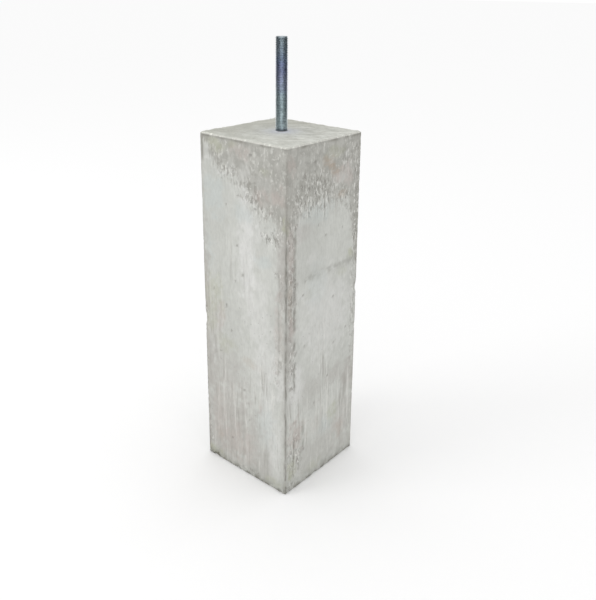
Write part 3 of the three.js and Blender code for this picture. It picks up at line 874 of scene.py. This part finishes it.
# %% [markdown]
# ## Part three: stains
# Moss is a thin green-yellow film, blush is the pink-brown of a clayey sand, and rust comes from stones
# with iron in them. On the real block all three are faint, so they are mixed in at part strength, and a
# cloud breaks each one up. The rust lies in level bands, which is patches with a stretch below one.

# %% Stains
stain_paints = [
    ("moss", 11, 1.5, 0.62, paint(170, 172, 150)),
    ("blush", 12, 1.5, 0.6, paint(180, 170, 164)),
    ("rust", 13, 0.35, 0.6, paint(168, 150, 132)),
]
for layer_name, seed, stretch, strength, colour in stain_paints:
    broken_up = patches(skin, size=7, stretch=stretch, detail=5, seed=seed, start=0.36, end=0.6)
    skin.lay(colour, layer_name, skin.ramp(broken_up, 0, 1, 0.4, 1), strength)
print(f"with stains: {len(skin.tree.nodes)} nodes")

# %% [markdown]
# ## Part four: edges and the top face
# The upright edges are darker, as a narrow dark line with a softer band beside it, and the foot is darker
# towards the bottom, its chips too. The top face is a shade warmer, its rim is rubbed pale, and a ring of
# pure cement paste lies round the rod. The trowel's marks are patches too, but read through a Mapping node
# that turns the place to the stroke and squeezes it along it. A slow sway across the stroke keeps the marks
# from running straight. Freshly broken places show sand and small stones.

# %% Edges, top face and holes
ragged_edge = patches(skin, size=4, stretch=5, detail=4, seed=14, start=0.34, end=0.62)
skin.lay(paint(148, 145, 138), "arris", skin.ramp(ragged_edge, 0, 1, 0.2, 0.75))
skin.lay(paint(102, 99, 92), "arris_line", skin.ramp(ragged_edge, 0, 1, 0.45, 0.95))
# Painted shade just under the rim
skin.lay(paint(124, 122, 114), "painted_shade_under_rim", 0.7)
skin.lay(paint(128, 126, 119), "seam", 0.8)

trowel_tone = skin.mix(skin.layer("dry"), paint(185, 185, 176), paint(213, 214, 207))
trowel_tone = skin.mix(skin.times(mottle, 0.35), trowel_tone, paint(170, 170, 160))
skin.lay(trowel_tone, "top", 0.95)

widest_sway = 30 * mm
stroke_squeeze = 10
sway = skin.math("SUBTRACT", cloud(skin, size=60, detail=1, seed=32), 0.5)
sway = skin.times(sway, widest_sway)
over_stroke = (-math.sin(stroke_angle), math.cos(stroke_angle), 0)
swayed = skin.vector("ADD", {0: skin.position, 1: skin.vector("SCALE", {0: over_stroke, "Scale": sway})})
trowel = Finish(skin.tree)
squeeze = {"Vector": swayed, "Rotation": (0, 0, stroke_angle), "Scale": (stroke_squeeze, 1, 1)}
trowel.position = skin.put("ShaderNodeMapping", squeeze, vector_type="TEXTURE").outputs[0]
scratches = patches(trowel, size=2.6, detail=4, seed=29, start=0.53, end=0.63)
smears = patches(trowel, size=4.5, detail=4, seed=30, start=0.5, end=0.64)
rubbed = skin.layer("rubbed")
skin.lay(paint(229, 229, 222), rubbed, smears, 0.6)
skin.lay(paint(148, 148, 138), rubbed, scratches, 0.6)
skin.lay(paint(207, 210, 219), "ring", skin.ramp(mottle, 0, 1, 0.95, 0.7))
skin.lay(paint(236, 236, 228), "rim", skin.ramp(flecks, 0, 1, 0.5, 1))

stones = patches(skin, size=3, seed=15, start=0.42, end=0.58)
skin.lay(skin.mix(stones, paint(192, 190, 182), paint(160, 157, 150)), "broken", 0.55)
# The foot is darker towards the bottom
skin.lay(paint(100, 99, 88), "foot", skin.ramp(lumps, 0, 1, 0.45, 1))
# Pores are small dents painted dark: painted shade and dirt
pores = specks(skin, size=1.2, spacing=7, share=0.5, seed=16)
skin.lay(paint(136, 133, 126), pores, 0.5)
# Painted shade and dirt inside the bug holes
skin.lay(paint(134, 131, 125), "hole", 0.55)

shade = skin.ramp(cloud(skin, size=2.8, stretch=2.6, detail=4, seed=17), 0.25, 0.75, 0.95, 1.06)
shade = skin.put("ShaderNodeCombineColor", {0: shade, 1: shade, 2: shade}).outputs[0]
skin.tone = skin.mix(1.0, skin.tone, shade, "MULTIPLY")
print(f"whole colour: {len(skin.tree.nodes)} nodes")

# %% [markdown]
# ## Part five: fine relief
# What is too fine for the mesh is a bump. It is made of the masks that the colours use, so that a dark
# pore is also a dent and a pale fleck stands up. `Distance` turns a height of 1 into one millimetre.

# %% Relief and roughness of the concrete
sand = cloud(skin, size=1.0, detail=4, seed=18)
waves = cloud(skin, size=5, seed=19)
relief = skin.math("ADD", skin.times(sand, 0.14), skin.times(waves, 0.18))
for share, masks in (
    (-0.35, (crust_cover, lumps)),
    (0.25, (crust_cover, flecks)),
    (-0.4, (last_grains, dark_grains)),
    (0.35, (last_grains, pale_grains)),
    (-0.5, (pits, dark_pits)),
    (0.35, (pits, pale_pits)),
    (-0.15, (runs, dark_runs)),
    (-0.3, (rubbed, scratches)),
    (0.3, (rubbed, smears)),
    (-0.5, (pores,)),
):
    relief = skin.math("ADD", relief, skin.times(share, *masks))
bump = skin.put("ShaderNodeBump", {"Height": relief, "Distance": mm, "Strength": 0.9}).outputs["Normal"]
roughness = skin.ramp(skin.layer("pale"), 0, 1, 0.93, 0.8)
look = {"Base Color": skin.tone, "Normal": bump, "Roughness": roughness, "Specular IOR Level": 0.3}
skin.fill(concrete_shader, look)
block_mesh.materials.append(concrete)
print(f"concrete: {len(skin.tree.nodes)} nodes")

# %% [markdown]
# ## The threaded rod
# The rod is an M16 bar with a rolled thread: crests 2 mm apart, 60 degrees between the flanks, narrow
# flats on the crests and a rounded root. A displaced cylinder would cut the slanting crests into steps,
# so the rows of points wind round the bar like the thread itself, and each row follows one line of the
# profile.

# %% A winding skin
thread_pitch = 2.0
thread_depth = 0.6134 * thread_pitch
thread_sides = 60
thread_run_in = 4.0
tip_bevel = 1.4
# share of the pitch and share of the thread's depth: crest, crest, flank, root, root, root, flank
thread_profile = [(0.0, 0.0), (0.125, 0.0), (0.31, 0.5), (0.47, 0.96), (0.56, 1.0), (0.65, 0.96), (0.81, 0.5)]


def threaded_skin(foot, top):
    """Open winding skin of a right-hand thread between two heights, as points, quads and thread depths."""
    rows_a_turn = len(thread_profile)
    shares, cuts = np.array(thread_profile).T
    row = np.arange((math.ceil((top - foot) / thread_pitch) + 2) * rows_a_turn)
    side = np.arange(thread_sides)
    rise = (row // rows_a_turn + shares[row % rows_a_turn])[:, None] + side / thread_sides
    high = foot + (rise - 1) * thread_pitch
    cut = np.repeat(cuts[row % rows_a_turn][:, None], thread_sides, axis=1)
    envelope = np.minimum(rod_radius, rod_radius - tip_bevel + np.clip(top - high, 0, None))
    radius = np.minimum(rod_radius - thread_depth * cut, envelope)
    angle = side * 2 * math.pi / thread_sides
    skin_points = np.stack([radius * np.cos(angle), radius * np.sin(angle), high], -1)
    index = np.arange(radius.size).reshape(radius.shape)
    # Past the last side, a row goes on as the row one turn higher
    wrapped = np.concatenate([index[:-rows_a_turn], index[rows_a_turn:, :1]], axis=1)
    quads = np.stack([wrapped[:-1, :-1], wrapped[:-1, 1:], wrapped[1:, 1:], wrapped[1:, :-1]], -1)
    return skin_points.reshape(-1, 3), quads.reshape(-1, 4), cut.ravel()


thread_foot = block_height - thread_run_in
skin_points, quads, cut = threaded_skin(thread_foot - thread_pitch, rod_tip)
dents = np.abs(0.04 * wander(skin_points, 1.8, 2, 30)) + 0.06 * np.maximum(wander(skin_points, 5, 2, 31), 0)
skin_points[:, :2] *= (1 - dents / rod_radius)[:, None]
print(f"thread: {len(quads)} quads")

# %% [markdown]
# ## The rod's two ends
# The winding skin has ragged ends. It is sliced flat at the tip, where a saw cut it, and again just below
# the block's top face. Where a cut passes very near a point it leaves a sliver, and merging the points that
# are closer than a hundredth of a millimetre takes the slivers away. From the lower cut a plain bar goes
# down, because nobody sees the part that is cast in.

# %% Cut and close the rod
sliver = 0.01
sharp_angle = math.radians(50)


def open_edges(bm, height):
    """The open edges of the body at a height in mm, give or take a thousandth."""
    return [e for e in bm.edges if e.is_boundary and all(abs(v.co.z / mm - height) < 0.001 for v in e.verts)]


rod_mesh = bpy.data.meshes.new("zinc_plated_rod")
rod_mesh.from_pydata((skin_points * mm).tolist(), [], quads.tolist())
paint_layer(rod_mesh, "thread_root", cut)
bm = bmesh.new()
bm.from_mesh(rod_mesh)
for cut_height, outward_z in ((rod_tip, 1), (thread_foot, -1)):
    everything = bm.verts[:] + bm.edges[:] + bm.faces[:]
    plane = {"plane_co": (0, 0, cut_height * mm), "plane_no": (0, 0, outward_z)}
    bmesh.ops.bisect_plane(bm, geom=everything, clear_outer=True, **plane)
bmesh.ops.delete(bm, geom=[v for v in bm.verts if not v.link_faces], context="VERTS")
bmesh.ops.remove_doubles(bm, verts=bm.verts[:], dist=sliver * mm)
bmesh.ops.contextual_create(bm, geom=open_edges(bm, rod_tip))
plain_bar = bmesh.ops.extrude_edge_only(bm, edges=open_edges(bm, thread_foot))["geom"]
for vertex in [v for v in plain_bar if isinstance(v, bmesh.types.BMVert)]:
    widen = rod_radius * mm / math.hypot(vertex.co.x, vertex.co.y)
    vertex.co = (vertex.co.x * widen, vertex.co.y * widen, rod_foot * mm)
bmesh.ops.contextual_create(bm, geom=open_edges(bm, rod_foot))
bmesh.ops.recalc_face_normals(bm, faces=bm.faces)
bm.to_mesh(rod_mesh)
bm.free()
rod_mesh.shade_smooth()
rod_mesh.set_sharp_from_angle(angle=sharp_angle)

rod = new_object("zinc_plated_rod", rod_mesh)
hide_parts("threaded_rod")
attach(rod, "root")
print(f"zinc_plated_rod: {len(rod_mesh.polygons)} faces, {rod_tip - block_height:.0f} mm above the block")

# %% [markdown]
# ## Zinc plating
# Electroplated zinc is dipped in a passivating bath that leaves a film so thin that it tints the metal:
# blue here, violet there, and green-grey where it is thinnest. The tint changes slowly along the rod and is
# darkest in its upper half, so a colour ramp over the height makes it, pushed up and down by a cloud. Oil
# and cement dust stay in the roots of the thread, the rod is darker in a narrow ring at its foot, white spots
# bloom on the zinc, and a little paste has dried below the ring. Where paste covers the metal, `Metallic` has
# to fall to 0, or it would look like dusty chrome.

# %% Zinc
zinc, zinc_shader, plating = new_material("zinc_plated_steel")
height_now = plating.put("ShaderNodeSeparateXYZ", {0: plating.position}).outputs["Z"]
widest_drift = 30 * mm
drift = plating.math("SUBTRACT", cloud(plating, size=16, detail=2, seed=20), 0.5)
tint_place = plating.math("ADD", height_now, plating.times(drift, widest_drift))
tint_place = plating.ramp(tint_place, block_height * mm, rod_tip * mm)
tints = plating.put("ShaderNodeValToRGB", {0: tint_place})
tints.color_ramp.interpolation = "B_SPLINE"
tints.color_ramp.elements[0].color = paint(224, 236, 240)
tints.color_ramp.elements[1].color = paint(192, 204, 204)
for place, colour in (
    (0.3, paint(214, 232, 234)),
    (0.55, paint(208, 214, 238)),
    (0.68, paint(178, 182, 208)),
    (0.82, paint(174, 190, 220)),
):
    tints.color_ramp.elements.new(place).color = colour
plating.tone = tints.outputs["Color"]

dull = patches(plating, size=5, detail=4, seed=21, start=0.42, end=0.66)
plating.lay(paint(160, 172, 180), dull, 0.4)
bloom = specks(plating, size=1.2, spacing=3.2, share=0.25, seed=23)
plating.lay(paint(222, 228, 230), bloom, 0.35)
dirt = patches(plating, size=3, seed=22, start=0.3, end=0.6)
in_root = plating.ramp(plating.layer("thread_root"), 0.4, 1)
in_root = plating.times(in_root, plating.ramp(dirt, 0, 1, 0.1, 0.45))
plating.lay(paint(110, 118, 130), in_root)
# The rod is darker in a narrow ring at its foot
darker_at_foot = plating.ramp(height_now, (block_height + 1.5) * mm, (block_height + 5) * mm, 0.65, 0.0)
plating.lay(paint(76, 80, 100), darker_at_foot)

paste_creep = 5 * mm
creep = plating.times(cloud(plating, size=3.5, seed=24), paste_creep)
paste_line = plating.math("SUBTRACT", height_now, creep)
paste = plating.ramp(paste_line, (block_height - 2.6) * mm, (block_height - 0.4) * mm, 0.85, 0.0)
plating.lay(paint(150, 148, 141), paste)

covered = plating.math("MAXIMUM", paste, plating.times(in_root, 0.5))
metal = plating.math("SUBTRACT", 0.95, plating.times(covered, 0.9))
roughness = plating.math("MAXIMUM", plating.ramp(dull, 0, 1, 0.3, 0.45), plating.times(covered, 0.9))
grain = {"Height": cloud(plating, size=0.7, seed=25), "Distance": 0.06 * mm, "Strength": 0.4}
bump = plating.put("ShaderNodeBump", grain).outputs["Normal"]
look = {"Base Color": plating.tone, "Metallic": metal, "Roughness": roughness, "Normal": bump}
plating.fill(zinc_shader, look)
rod_mesh.materials.append(zinc)
print(f"zinc: {len(plating.tree.nodes)} nodes")

# %% [markdown]
# ## Studio
# The picture has a plain white ground and soft light from all round, a little stronger from the left. A
# white world gives the even part, and one large area light gives the block its shape. Metal shows only
# what stands round it, and in an all-white room it would turn white too. Two dark boards to the left and
# the right give the rod its dark flanks. Only glossy rays see them, which is the renderer's way of
# standing them just out of the picture.

# %% Floor
scene.view_settings.view_transform = "Standard"
floor_reach = 60


def flat_sheet(name, corners, material):
    """A stage piece with four corners."""
    mesh = bpy.data.meshes.new(name)
    mesh.from_pydata(corners, [], [(0, 1, 2, 3)])
    mesh.materials.append(material)
    sheet = new_object(name, mesh)
    return sheet


def matt(name, grey):
    material, shader, finish = new_material(name)
    finish.fill(shader, {"Base Color": (grey, grey, grey, 1), "Roughness": 1.0, "Specular IOR Level": 0.0})
    return material


floor_corners = [(a * floor_reach, b * floor_reach, 0) for a, b in ((-1, -1), (1, -1), (1, 1), (-1, 1))]
flat_sheet("floor", floor_corners, matt("pale_floor", 0.96))
print(f"floor {2 * floor_reach} m square")

# %% Light
world = bpy.data.worlds.new("white_room")
world.use_nodes = True
world.node_tree.nodes["Background"].inputs["Color"].default_value = (1, 1, 1, 1)
world.node_tree.nodes["Background"].inputs["Strength"].default_value = 1.0
scene.world = world

lamp_data = bpy.data.lights.new("window", "AREA")
lamp_data.size = 1.2
lamp_data.energy = 11
lamp = new_object("window", lamp_data)
lamp.location = (-1.3, -2.0, 1.7)
middle_of_block = Vector((0, 0, 0.3))
turn_to(lamp, (middle_of_block - lamp.location).to_track_quat("-Z", "Y"))
lamp.visible_glossy = False

board_distance = 0.9
board_half = 1.6
board_top = 2.4
towards_camera = Vector((eye[0], eye[1], 0)).normalized()
to_the_right = Vector((-towards_camera.y, towards_camera.x, 0))
black = matt("black_board", 0.02)
for name, sign in (("left_board", -1), ("right_board", 1)):
    ends = [to_the_right * sign * board_distance + towards_camera * board_half * end for end in (-1, 1)]
    board_corners = [(ends[0].x, ends[0].y, 0), (ends[1].x, ends[1].y, 0)]
    board_corners += [(ends[1].x, ends[1].y, board_top), (ends[0].x, ends[0].y, board_top)]
    board = flat_sheet(name, board_corners, black)
    board.visible_camera = False
    board.visible_diffuse = False
    board.visible_shadow = False
print("studio ready")
